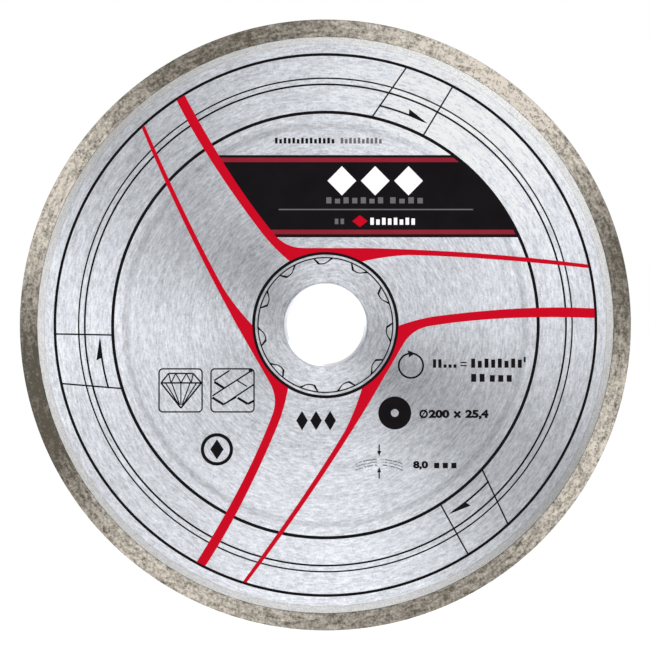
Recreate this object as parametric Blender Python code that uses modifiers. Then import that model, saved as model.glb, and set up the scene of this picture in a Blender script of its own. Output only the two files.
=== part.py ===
# Continuous-rim diamond blade for tile and stone.
#
# Metres, +Z up. The blade stands like a wheel: its axis is Y, its printed face looks along -Y and
# the origin is the centre of the bore, on the middle plane of the steel. Everything is modelled
# flat, in the X/Y plane of an empty called blade_axis, with the printed face up; the empty then
# turns the whole blade upright.

import math

import bmesh
import bpy

MM = 0.001

# Blade
BLADE_DIAMETER = 200.0 * MM
BORE_DIAMETER = 25.4 * MM
BORE_CHAMFER_REACH = 0.9 * MM      # across the face, out from the bore
BORE_CHAMFER_DEPTH = 0.5 * MM
STEEL_THICKNESS = 1.6 * MM

# Rim: a diamond-free base grips the steel, and the diamond layer outside it does the cutting
RIM_HEIGHT = 8.0 * MM               # both layers together
DIAMOND_HEIGHT = 5.7 * MM           # the diamond layer alone
SIDE_RELIEF = 0.3 * MM              # how far the diamond layer stands proud of the steel, each side
RIM_CORNER = 0.25 * MM              # chamfer on its outer corners

# Keyed tongue on the steel, buried in the rim base
TONGUE_HEIGHT = 1.5 * MM
TONGUE_THICKNESS = 0.9 * MM
TONGUE_ROOT = 3.0 * MM              # how deep the tongue's blank runs into the steel
KEY_COUNT = 24
KEY_WIDTH = 3.0 * MM
KEY_DEPTH = 0.9 * MM
FIT_GAP = 0.05 * MM                 # between pieces that touch

# Ink: printed in passes, each one a film over the one before
INK_THICKNESS = 0.02 * MM
INK_GAP = 0.02 * MM
INK_OVERLAP = 0.002 * MM            # a joined stroke is this much thinner than its ring, each side
BLACK_PASS, ACCENT_PASS, RED_PASS = 0, 1, 2

# Smoothness
ROUND_STEPS = 96
INK_STEPS = 72
ARC_STEP = 5.0                      # degrees between the points of a printed arc
BEND_STEPS = 8

# Artwork. Its sizes are millimetres on a steel face of ARTWORK_FACE radius, and the screen is
# scaled as one to the face that the blade really has.
ARTWORK_FACE = 92.0
BIG_RINGS = ((88.53, 0.9), (80.76, 0.48), (78.75, 0.6), (69.64, 1.02))   # radius, line width
HUB_RING = (23.5, 1.0)
NOTCH_RING = (22.05, 0.42)
NOTCH_COUNT = 11
NOTCH_TURN = -1.5                   # clock angle of the first notch mark, degrees
NOTCH_OUTLINE = ((-3.4, 0.0), (-2.0, 2.0), (-0.2, 1.95), (1.3, 1.35), (3.1, 0.0))
NOTCH_HOLE = ((-2.85, 0.05), (-1.75, 1.6), (-0.3, 1.6), (1.1, 1.05), (2.3, 0.05))
THIRDS = 3                          # stripes and direction marks repeat three times round

DIRECTION_LINES = (((69.6, 12.6), (88.5, 17.5)), ((69.6, 27.3), (88.5, 28.1)))
DIRECTION_LINE_WIDTH = 0.5
ARROW_RADIUS = 73.95
ARROW_WIDTH = 0.6
ARROW_START, ARROW_BARB, ARROW_TIP = 13.7, 21.2, 27.0                  # clock angles
ARROW_BARB_HEIGHT = 1.9

STRIPE_END = 88.2                   # radius where the stripes run out, inside the big ring
STRIPE_HUB = 24.0                   # radius of their edge along the hub ring
STRIPE_THICK = (-33.51, -31.49)     # clock angles of the thick end's two corners
STRIPE_THIN = (77.04, 77.81)        # and of the thin end's
STRIPE_ON_HUB = (-29.3, 31.2)       # where they meet the hub ring

PANEL_TOP, PANEL_BOTTOM = 55.6, 28.7
PANEL_LEFT = (-35.6, -17.2)         # at the top and the bottom edge, under the thick stripe
PANEL_RING_GAP = 0.12               # clears the flats of the faceted ring
PANEL_LINES = {"panel_line_top": (54.8, 53.3), "panel_line_bottom": (31.2, 29.7)}
PANEL_LINE_MARGIN = 0.35            # from the end of a panel line to the panel's own edge
RULE_ENDS = (-15.3, 48.3)
RULE_HEIGHT, RULE_WIDTH = 37.8, 0.45
GEM_COUNT = 3                       # plain rhombus marks in a row on the panel
GEM_WIDTH, GEM_HEIGHT = 9.4, 9.6
GEM_PITCH = 10.9
GEM_ROW_MIDDLE = (16.3, 47.2)

FRAME_PLACES = {"gem_frame": (-47.4, -21.4), "tile_frame": (-30.4, -21.4)}
FRAME_SIDE = 14.5
FRAME_CORNER = 1.3
FRAME_LINE = 0.4
BORE_ICON_PLACE = (22.7, -28.8)
BORE_ICON_RADII = (5.4, 1.28)
TURN_ICON_PLACE = (28.0, -13.3)
TURN_ICON_RADIUS, TURN_ICON_LINE = 4.0, 0.6
TURN_ICON_HEAD, TURN_ICON_TIP = -12.0, 12.0                            # clock angles
TURN_ICON_BARB = 1.2

# Worked out from the values above
BLADE_RADIUS = BLADE_DIAMETER / 2
BORE_RADIUS = BORE_DIAMETER / 2
STEEL_RADIUS = BLADE_RADIUS - RIM_HEIGHT
BASE_RADIUS = BLADE_RADIUS - DIAMOND_HEIGHT
ART = STEEL_RADIUS / ARTWORK_FACE   # metres for each millimetre of artwork

# name: (base colour, roughness, metallic)
FINISHES = {
    "brushed_steel": ((0.60, 0.62, 0.65), 0.35, 1.0),
    "rim_bond": ((0.52, 0.52, 0.51), 0.50, 1.0),
    "diamond_bond": ((0.33, 0.28, 0.22), 0.75, 0.3),
    "black_ink": ((0.012, 0.010, 0.012), 0.40, 0.0),
    "red_ink": ((0.72, 0.004, 0.020), 0.40, 0.0),
    "dark_red_ink": ((0.26, 0.014, 0.030), 0.40, 0.0),
    "grey_ink": ((0.18, 0.17, 0.18), 0.40, 0.0),
    "white_ink": ((0.86, 0.86, 0.86), 0.40, 0.0),
}


def clear_scene():
    for obj in list(bpy.data.objects):
        bpy.data.objects.remove(obj, do_unlink=True)


def new_collection(name):
    collection = bpy.data.collections.new(name)
    bpy.context.scene.collection.children.link(collection)
    return collection


def make_material(name):
    colour, roughness, metallic = FINISHES[name]
    material = bpy.data.materials.new(name)
    material.use_nodes = True
    shader = material.node_tree.nodes["Principled BSDF"]
    shader.inputs["Base Color"].default_value = (*colour, 1.0)
    shader.inputs["Roughness"].default_value = roughness
    shader.inputs["Metallic"].default_value = metallic
    return material


# Points of outlines

def clock(radius, degrees):
    """A point at a radius and a clock angle: 0 is up, and it grows clockwise."""
    angle = math.radians(degrees)
    return (radius * math.sin(angle), radius * math.cos(angle))


def arc(radius, start, end, step=ARC_STEP):
    count = max(1, math.ceil(abs(end - start) / step))
    return [clock(radius, start + (end - start) * i / count) for i in range(count + 1)]


def circle(radius, steps=INK_STEPS):
    return [clock(radius, 360.0 * i / steps) for i in range(steps)]


def bend(start, corner, end):
    """A smooth bend from start to end that leaves and arrives pointing at the corner."""
    points = []
    for i in range(BEND_STEPS + 1):
        t = i / BEND_STEPS
        weights = ((1 - t) ** 2, 2 * t * (1 - t), t ** 2)
        points.append(tuple(sum(w * p[k] for w, p in zip(weights, (start, corner, end)))
                            for k in (0, 1)))
    return points


def turned_by(points, degrees):
    angle = math.radians(degrees)
    c, s = math.cos(angle), math.sin(angle)
    return [(x * c + y * s, y * c - x * s) for x, y in points]


def moved_to(points, place):
    return [(x + place[0], y + place[1]) for x, y in points]


def scaled(outlines, factor):
    return [[(x * factor, y * factor) for x, y in points] for points in outlines]


def line_strip(start, end, width):
    """The four corners of a straight stroke."""
    run = (end[0] - start[0], end[1] - start[1])
    length = math.hypot(*run)
    side = (-run[1] / length * width / 2, run[0] / length * width / 2)
    return [(start[0] + side[0], start[1] + side[1]), (end[0] + side[0], end[1] + side[1]),
            (end[0] - side[0], end[1] - side[1]), (start[0] - side[0], start[1] - side[1])]


def ring_outlines(radius, width):
    return [circle(radius + width / 2), circle(radius - width / 2)]


def rounded_square(side, corner):
    inset = side / 2 - corner
    points = []
    for quarter, centre in enumerate(((inset, inset), (inset, -inset), (-inset, -inset), (-inset, inset))):
        points += moved_to(arc(corner, 90.0 * quarter, 90.0 * quarter + 90.0, 22.5), centre)
    return points


def castle_outline(tip_radius, key_width, key_depth):
    """The tongue's outer edge: a circle with a notch for each key."""
    root_radius = tip_radius - key_depth
    pitch = 360.0 / KEY_COUNT
    points = []
    for key in range(KEY_COUNT):
        middle = key * pitch
        half_tip = math.degrees(math.asin(key_width / 2 / tip_radius))
        half_root = math.degrees(math.asin(key_width / 2 / root_radius))
        points += [clock(root_radius, middle - half_root), clock(root_radius, middle + half_root)]
        points += arc(tip_radius, middle + half_tip, middle + pitch - half_tip)
    return points


# Solids

def add_object(name, data, material, collection, parent):
    obj = bpy.data.objects.new(name, data)
    collection.objects.link(obj)
    obj.parent = parent
    if material:
        data.materials.append(material)
    return obj


def turned_piece(name, profile, material, collection, parent):
    """A solid of revolution. The profile's (radius, height) points run down its outer side."""
    mesh = bpy.data.meshes.new(name)
    edges = [(i, (i + 1) % len(profile)) for i in range(len(profile))]
    mesh.from_pydata([(radius, 0.0, height) for radius, height in profile], edges, [])
    obj = add_object(name, mesh, material, collection, parent)
    screw = obj.modifiers.new("Turn", "SCREW")
    screw.steps = screw.render_steps = ROUND_STEPS
    screw.use_merge_vertices = True
    screw.merge_threshold = 0.000001
    screw.use_smooth_shade = False
    return obj


def flat_curve(name, outlines, thickness, middle, material, collection, parent):
    """A flat piece: outlines are filled, one inside another makes a hole, and middle is its height."""
    curve = bpy.data.curves.new(name, "CURVE")
    curve.dimensions = "2D"
    curve.fill_mode = "BOTH"
    curve.extrude = thickness / 2
    for points in outlines:
        spline = curve.splines.new("POLY")
        spline.points.add(len(points) - 1)
        for point, (x, y) in zip(spline.points, points):
            point.co = (x, y, 0.0, 1.0)
        spline.use_cyclic_u = True
    obj = add_object(name, curve, material, collection, parent)
    obj.location.z = middle
    return obj


def as_mesh(obj):
    """Swap a flat curve for a mesh with welded caps, so that it can be cut or joined."""
    bpy.context.view_layer.update()
    evaluated = obj.evaluated_get(bpy.context.evaluated_depsgraph_get())
    mesh = bpy.data.meshes.new_from_object(evaluated)
    name, place, parent = obj.name, obj.location.copy(), obj.parent
    collection = obj.users_collection[0]
    bpy.data.objects.remove(obj, do_unlink=True)
    welder = bmesh.new()
    welder.from_mesh(mesh)
    bmesh.ops.remove_doubles(welder, verts=welder.verts, dist=0.0000001)
    welder.to_mesh(mesh)
    welder.free()
    solid = add_object(name, mesh, None, collection, parent)
    solid.location = place
    return solid


def combine(target, tool, operation):
    tool.hide_render = True
    tool.display_type = "WIRE"
    boolean = target.modifiers.new(tool.name, "BOOLEAN")
    boolean.operation = operation
    boolean.solver = "EXACT"
    boolean.object = tool


class Blade:
    """Where every piece goes: the collections, the axis empty and the materials."""

    def __init__(self):
        self.pieces = new_collection("diamond_blade")
        self.cutters = new_collection("cutters")
        self.axis = bpy.data.objects.new("blade_axis", None)
        self.axis.rotation_euler.x = math.pi / 2
        self.pieces.objects.link(self.axis)
        self.materials = {name: make_material(name) for name in FINISHES}

    def turned(self, name, profile, finish):
        return turned_piece(name, profile, self.materials[finish], self.pieces, self.axis)

    def ink_height(self, ink_pass):
        """The middle of a pass's film."""
        return STEEL_THICKNESS / 2 + INK_GAP + INK_THICKNESS / 2 + ink_pass * (INK_THICKNESS + INK_GAP)

    def print_film(self, name, outlines, ink_pass, finish):
        return flat_curve(name, scaled(outlines, ART), INK_THICKNESS, self.ink_height(ink_pass),
                          self.materials[finish], self.pieces, self.axis)

    def hidden_plate(self, name, outlines, thickness, middle=0.0):
        plate = flat_curve(name, outlines, thickness, middle, None, self.cutters, self.axis)
        return as_mesh(plate)

    def hidden_stroke(self, name, outlines):
        """Strokes that join the big rings, a little thinner than the rings' film."""
        return self.hidden_plate(name, scaled(outlines, ART), INK_THICKNESS - 2 * INK_OVERLAP,
                                 self.ink_height(BLACK_PASS))


# The blade's pieces

def make_steel_core(blade):
    face = STEEL_THICKNESS / 2
    chamfered = BORE_RADIUS + BORE_CHAMFER_REACH
    profile = [(STEEL_RADIUS, face), (STEEL_RADIUS, -face), (chamfered, -face),
               (BORE_RADIUS, BORE_CHAMFER_DEPTH - face), (BORE_RADIUS, face - BORE_CHAMFER_DEPTH),
               (chamfered, face)]
    core = blade.turned("steel_core", profile, "brushed_steel")
    tongue = blade.hidden_plate(
        "tongue", [castle_outline(STEEL_RADIUS + TONGUE_HEIGHT, KEY_WIDTH, KEY_DEPTH),
                   circle(STEEL_RADIUS - TONGUE_ROOT)], TONGUE_THICKNESS)
    combine(core, tongue, "UNION")


def make_rim_base(blade):
    face = STEEL_THICKNESS / 2
    inner = STEEL_RADIUS + FIT_GAP
    profile = [(BASE_RADIUS, face), (BASE_RADIUS, -face), (inner, -face), (inner, face)]
    base = blade.turned("rim_base", profile, "rim_bond")
    groove = blade.hidden_plate(
        "groove", [castle_outline(STEEL_RADIUS + TONGUE_HEIGHT + FIT_GAP, KEY_WIDTH - 2 * FIT_GAP, KEY_DEPTH),
                   circle(STEEL_RADIUS - TONGUE_ROOT)], TONGUE_THICKNESS + 2 * FIT_GAP)
    combine(base, groove, "DIFFERENCE")


def make_diamond_rim(blade):
    face = STEEL_THICKNESS / 2 + SIDE_RELIEF
    inner = BASE_RADIUS + FIT_GAP
    corner = BLADE_RADIUS - RIM_CORNER
    profile = [(corner, face), (BLADE_RADIUS, face - RIM_CORNER), (BLADE_RADIUS, RIM_CORNER - face),
               (corner, -face), (inner, -face), (inner, face)]
    blade.turned("diamond_rim", profile, "diamond_bond")


def arrow_outline():
    """A shaft on an arc with one barb on its outer side, pointing clockwise."""
    half = ARROW_WIDTH / 2
    return (arc(ARROW_RADIUS + half, ARROW_START, ARROW_BARB)
            + [clock(ARROW_RADIUS + ARROW_BARB_HEIGHT, ARROW_BARB), clock(ARROW_RADIUS, ARROW_TIP)]
            + arc(ARROW_RADIUS - half, ARROW_BARB, ARROW_START))


def make_black_rings(blade):
    """The four big rings, tied together by the three direction marks."""
    outlines = [points for radius, width in BIG_RINGS for points in ring_outlines(radius, width)]
    rings = as_mesh(blade.print_film("black_rings", outlines, BLACK_PASS, "black_ink"))
    lines, arrows = [], []
    for third in range(THIRDS):
        turn = third * 360.0 / THIRDS
        for start, end in DIRECTION_LINES:
            strip = line_strip(clock(*start), clock(*end), DIRECTION_LINE_WIDTH)
            lines.append(turned_by(strip, turn))
        arrows.append(turned_by(arrow_outline(), turn))
    combine(rings, blade.hidden_stroke("direction_lines", lines), "UNION")
    arrow_solid = blade.hidden_stroke("direction_arrows", arrows)
    arrow_solid.scale.z = 1 - 2 * INK_OVERLAP / INK_THICKNESS
    combine(rings, arrow_solid, "UNION")


def notch_points(offsets, turn):
    """Points given by their distance along the notch ring and their depth inside it."""
    radius = NOTCH_RING[0] - NOTCH_RING[1] / 2
    return [clock(radius - depth, turn + math.degrees(along / radius)) for along, depth in offsets]


def make_hub_rings(blade):
    blade.print_film("hub_ring", ring_outlines(*HUB_RING), BLACK_PASS, "black_ink")
    inner, holes = [], []
    for notch in range(NOTCH_COUNT):
        turn = NOTCH_TURN + notch * 360.0 / NOTCH_COUNT
        mark = notch_points(NOTCH_OUTLINE, turn)
        radius = NOTCH_RING[0] - NOTCH_RING[1] / 2
        ends = [math.degrees(along / radius) for along, _ in (NOTCH_OUTLINE[-1], NOTCH_OUTLINE[0])]
        plain = arc(radius, turn + ends[0], turn + 360.0 / NOTCH_COUNT + ends[1])
        inner += mark + plain[1:-1]
        holes.append(notch_points(NOTCH_HOLE, turn))
    outer = circle(NOTCH_RING[0] + NOTCH_RING[1] / 2)
    blade.print_film("hub_notch_ring", [outer, inner] + holes, BLACK_PASS, "black_ink")


def stripe_outline():
    """A thick arm down from the big ring, a bend over the hub, and a thin arm out again."""
    thick_inner, thick_outer = (clock(STRIPE_END, angle) for angle in STRIPE_THICK)
    thin_top, thin_bottom = (clock(STRIPE_END, angle) for angle in STRIPE_THIN)
    on_hub = arc(STRIPE_HUB, STRIPE_ON_HUB[1], STRIPE_ON_HUB[0])
    runs = (bend(thick_outer, (-31.57, 47.77), (-16.74, 29.7)),
            bend((-16.74, 29.7), (-13.05, 25.2), (-7.0, 25.2)),
            bend((14.0, 25.15), (52.07, 24.24), thin_top),
            bend(thin_bottom, (50.26, 22.49), (27.0, 22.88)),
            bend((27.0, 22.88), (20.0, 22.5), (13.0, 20.95)),
            on_hub,
            bend(on_hub[-1], (-17.4, 25.6), (-21.43, 31.02)),
            bend((-21.43, 31.02), (-38.99, 54.2), thick_inner))
    points = []
    for run in runs:
        points += [point for point in run if not points or math.dist(point, points[-1]) > 0.01]
    return points


def make_red_stripes(blade):
    for third in range(THIRDS):
        outline = turned_by(stripe_outline(), third * 360.0 / THIRDS)
        blade.print_film(f"red_stripe_{third + 1}", [outline], RED_PASS, "red_ink")


def panel_band(top, bottom, reach):
    """A level band of the label panel, from the thick stripe to an arc of radius reach."""
    lean = (PANEL_LEFT[1] - PANEL_LEFT[0]) / (PANEL_TOP - PANEL_BOTTOM)
    left = [(PANEL_LEFT[0] + lean * (PANEL_TOP - height), height) for height in (bottom, top)]
    angles = [math.degrees(math.acos(height / reach)) for height in (top, bottom)]
    return left + arc(reach, *angles)


def make_label_panel(blade):
    reach = BIG_RINGS[-1][0] - BIG_RINGS[-1][1] / 2 - PANEL_RING_GAP
    blade.print_film("label_panel", [panel_band(PANEL_TOP, PANEL_BOTTOM, reach)], BLACK_PASS, "black_ink")
    for name, (top, bottom) in PANEL_LINES.items():
        band = panel_band(top, bottom, reach - PANEL_LINE_MARGIN)
        blade.print_film(name, [band], ACCENT_PASS, "dark_red_ink")
    rule = line_strip((RULE_ENDS[0], RULE_HEIGHT), (RULE_ENDS[1], RULE_HEIGHT), RULE_WIDTH)
    blade.print_film("panel_rule", [rule], ACCENT_PASS, "grey_ink")
    rhombus = [(GEM_WIDTH / 2, 0.0), (0.0, GEM_HEIGHT / 2), (-GEM_WIDTH / 2, 0.0), (0.0, -GEM_HEIGHT / 2)]
    for gem in range(GEM_COUNT):
        shift = (gem - (GEM_COUNT - 1) / 2) * GEM_PITCH
        place = (GEM_ROW_MIDDLE[0] + shift, GEM_ROW_MIDDLE[1])
        blade.print_film(f"panel_gem_{gem + 1}", [moved_to(rhombus, place)], ACCENT_PASS, "white_ink")


def turn_icon_outlines():
    """A circle with an arrowhead on its line, pointing clockwise."""
    outlines = []
    for side in (1, -1):
        edge = TURN_ICON_RADIUS + side * TURN_ICON_LINE / 2
        barb = clock(TURN_ICON_RADIUS + side * TURN_ICON_BARB, TURN_ICON_HEAD)
        outlines.append(arc(edge, TURN_ICON_TIP, TURN_ICON_HEAD + 360.0, 15.0) + [barb])
    return outlines


def make_icons(blade):
    for name, place in FRAME_PLACES.items():
        outlines = [rounded_square(FRAME_SIDE, FRAME_CORNER),
                    rounded_square(FRAME_SIDE - 2 * FRAME_LINE, FRAME_CORNER - FRAME_LINE)]
        blade.print_film(name, [moved_to(points, place) for points in outlines], BLACK_PASS, "black_ink")
    discs = [moved_to(circle(radius, 36), BORE_ICON_PLACE) for radius in BORE_ICON_RADII]
    blade.print_film("bore_icon", discs, BLACK_PASS, "black_ink")
    turn_icon = [moved_to(points, TURN_ICON_PLACE) for points in turn_icon_outlines()]
    blade.print_film("rotation_icon", turn_icon, BLACK_PASS, "black_ink")


def main():
    clear_scene()
    blade = Blade()
    make_steel_core(blade)
    make_rim_base(blade)
    make_diamond_rim(blade)
    make_black_rings(blade)
    make_hub_rings(blade)
    make_red_stripes(blade)
    make_label_panel(blade)
    make_icons(blade)


main()
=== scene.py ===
import math
import random

import bpy
from mathutils import Matrix, Vector


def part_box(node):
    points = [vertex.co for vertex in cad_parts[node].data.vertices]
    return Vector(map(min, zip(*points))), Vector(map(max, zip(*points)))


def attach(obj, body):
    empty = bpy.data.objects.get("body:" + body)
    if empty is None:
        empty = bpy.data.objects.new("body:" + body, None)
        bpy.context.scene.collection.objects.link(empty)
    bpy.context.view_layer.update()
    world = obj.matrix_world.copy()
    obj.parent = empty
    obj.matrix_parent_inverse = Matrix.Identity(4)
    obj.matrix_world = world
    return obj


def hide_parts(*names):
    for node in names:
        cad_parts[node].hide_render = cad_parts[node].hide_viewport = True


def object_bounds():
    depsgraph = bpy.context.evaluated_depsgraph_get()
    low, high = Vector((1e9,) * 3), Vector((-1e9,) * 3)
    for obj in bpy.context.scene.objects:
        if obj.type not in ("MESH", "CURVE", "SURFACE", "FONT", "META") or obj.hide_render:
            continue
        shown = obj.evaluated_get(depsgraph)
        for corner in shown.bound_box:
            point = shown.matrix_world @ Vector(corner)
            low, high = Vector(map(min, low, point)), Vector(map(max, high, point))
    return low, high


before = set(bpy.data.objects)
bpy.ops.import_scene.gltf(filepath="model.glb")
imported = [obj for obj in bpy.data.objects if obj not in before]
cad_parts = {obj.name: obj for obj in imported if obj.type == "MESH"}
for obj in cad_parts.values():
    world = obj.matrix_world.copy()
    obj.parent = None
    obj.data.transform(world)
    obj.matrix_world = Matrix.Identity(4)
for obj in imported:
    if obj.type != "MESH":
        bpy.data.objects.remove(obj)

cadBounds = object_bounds()
mm = 0.001
upright = (math.pi / 2, 0, 0)               # flat work drawn in X/Y stands up with its face towards -Y

# the blade's own sizes, read from the frame
blade = {
    "rimRadius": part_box("diamond_rim")[1].x,
    "rimFace": -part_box("diamond_rim")[0].y,     # how far the rim's face is from the middle plane
    "baseRadius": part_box("rim_base")[1].x,
    "steelFace": -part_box("steel_core")[0].y,
    "rimHeight": 8.0 * mm,
}
blade["steelRadius"] = blade["rimRadius"] - blade["rimHeight"]
art = blade["steelRadius"] / 92.0           # one millimetre of the printed artwork


def deselectAll():
    if bpy.context.mode != "OBJECT":
        bpy.ops.object.mode_set(mode="OBJECT")
    bpy.ops.object.select_all(action="DESELECT")


def onlySelect(*objects):
    deselectAll()
    for obj in objects:
        obj.select_set(True)
    bpy.context.view_layer.objects.active = objects[0]


def applyPlace(obj):
    onlySelect(obj)
    bpy.ops.object.transform_apply(location=True, rotation=True, scale=True)


def applyModifier(obj, kind, **settings):
    onlySelect(obj)
    modifier = obj.modifiers.new(kind.title(), kind)
    for key, value in settings.items():
        setattr(modifier, key, value)
    bpy.ops.object.modifier_apply(modifier=modifier.name)


def joinAll(name, objects):
    onlySelect(*objects)
    if len(objects) > 1:
        bpy.ops.object.join()
    obj = bpy.context.object
    obj.name = obj.data.name = name
    return obj


def finishPiece(obj, material, standsFor=()):
    obj.data.materials.clear()
    obj.data.materials.append(material)
    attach(obj, "root")
    if standsFor:
        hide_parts(*standsFor)
    return obj


# outlines are lists of points in artwork millimetres, as seen from the printed side

def clock(radius, degrees):                 # 0 is up and angles grow clockwise
    angle = math.radians(degrees)
    return (radius * math.sin(angle), radius * math.cos(angle))


def arc(radius, start, end, step=1.0):
    count = max(1, math.ceil(abs(end - start) / step))
    return [clock(radius, start + (end - start) * i / count) for i in range(count + 1)]


def circle(radius, steps=96):
    return [clock(radius, 360 * i / steps) for i in range(steps)]


def bend(start, corner, end, steps=20):     # leaves and arrives pointing at the corner
    points = []
    for i in range(steps + 1):
        t = i / steps
        points.append(tuple((1 - t) ** 2 * a + 2 * t * (1 - t) * b + t * t * c
                            for a, b, c in zip(start, corner, end)))
    return points


def turned(points, degrees):
    angle = math.radians(degrees)
    c, s = math.cos(angle), math.sin(angle)
    return [(x * c + y * s, y * c - x * s) for x, y in points]


def moved(points, place):
    return [(x + place[0], y + place[1]) for x, y in points]


def joinedRuns(*runs):                      # runs that share their end points, as one outline
    points = []
    for run in runs:
        points += [point for point in run if not points or math.dist(point, points[-1]) > 0.004]
    return points


# every print is a thin film that stands on the steel
ink = {
    "thickness": 0.02 * mm,
    "gap": 0.02 * mm,
    "overlap": 0.0015 * mm,                 # how much lower a crossing stroke lies
    "ringSteps": 360,
}


def inkHeight(level):                       # the middle of a film of that pass, out from the middle plane
    pitch = ink["thickness"] + ink["gap"]
    return blade["steelFace"] + ink["gap"] + ink["thickness"] / 2 + level * pitch


def flatPrint(name, outlines, level=0, sink=0.0):
    curve = bpy.data.curves.new(name, "CURVE")
    curve.dimensions = "2D"
    curve.fill_mode = "BOTH"
    curve.extrude = ink["thickness"] / 2 - sink
    for points in outlines:
        spline = curve.splines.new("POLY")
        spline.points.add(len(points) - 1)
        for point, (x, y) in zip(spline.points, points):
            point.co = (x * art, y * art, 0, 1)
        spline.use_cyclic_u = True
    obj = bpy.data.objects.new(name, curve)
    bpy.context.scene.collection.objects.link(obj)
    onlySelect(obj)
    bpy.ops.object.convert(target="MESH")
    obj = bpy.context.object
    obj.name = obj.data.name = name
    obj.location = (0, -inkHeight(level), 0)
    obj.rotation_euler = upright
    applyPlace(obj)
    bpy.ops.object.mode_set(mode="EDIT")
    bpy.ops.mesh.select_all(action="SELECT")
    bpy.ops.mesh.remove_doubles(threshold=0.0000005)
    bpy.ops.mesh.normals_make_consistent(inside=False)
    bpy.ops.object.mode_set(mode="OBJECT")
    return obj


def strip(start, end, width):               # a straight stroke
    run = (end[0] - start[0], end[1] - start[1])
    length = math.hypot(*run)
    side = (-run[1] / length * width / 2, run[0] / length * width / 2)
    return [(start[0] + side[0], start[1] + side[1]), (end[0] + side[0], end[1] + side[1]),
            (end[0] - side[0], end[1] - side[1]), (start[0] - side[0], start[1] - side[1])]


def printRing(name, radius, width, level=0):
    outer, inner = (radius + width / 2) * art, (radius - width / 2) * art
    deselectAll()
    bpy.ops.mesh.primitive_circle_add(vertices=ink["ringSteps"], radius=outer, rotation=upright,
                                      location=(0, -inkHeight(level), 0))
    ring = bpy.context.object
    ring.name = ring.data.name = name
    applyPlace(ring)
    bpy.ops.object.mode_set(mode="EDIT")
    bpy.ops.mesh.select_all(action="SELECT")
    bpy.ops.mesh.extrude_edges_move()
    shrink = inner / outer
    bpy.ops.transform.resize(value=(shrink, 1, shrink), center_override=(0, -inkHeight(level), 0))
    bpy.ops.object.mode_set(mode="OBJECT")
    applyModifier(ring, "SOLIDIFY", thickness=ink["thickness"], offset=0)
    onlySelect(ring)
    bpy.ops.object.mode_set(mode="EDIT")
    bpy.ops.mesh.select_all(action="SELECT")
    bpy.ops.mesh.normals_make_consistent(inside=False)
    bpy.ops.object.mode_set(mode="OBJECT")
    return ring


class Wire:                                 # a socket that takes part in sums
    def __init__(self, finish, socket):
        self.finish, self.socket = finish, socket

    def sum(self, operation, first, second):
        return self.finish.add("Math", {"operation": operation}, {0: first, 1: second})

    def __add__(self, other): return self.sum("ADD", self, other)
    def __radd__(self, other): return self.sum("ADD", other, self)
    def __sub__(self, other): return self.sum("SUBTRACT", self, other)
    def __rsub__(self, other): return self.sum("SUBTRACT", other, self)
    def __mul__(self, other): return self.sum("MULTIPLY", self, other)
    def __rmul__(self, other): return self.sum("MULTIPLY", other, self)
    def __truediv__(self, other): return self.sum("DIVIDE", self, other)
    def __rtruediv__(self, other): return self.sum("DIVIDE", other, self)


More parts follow.
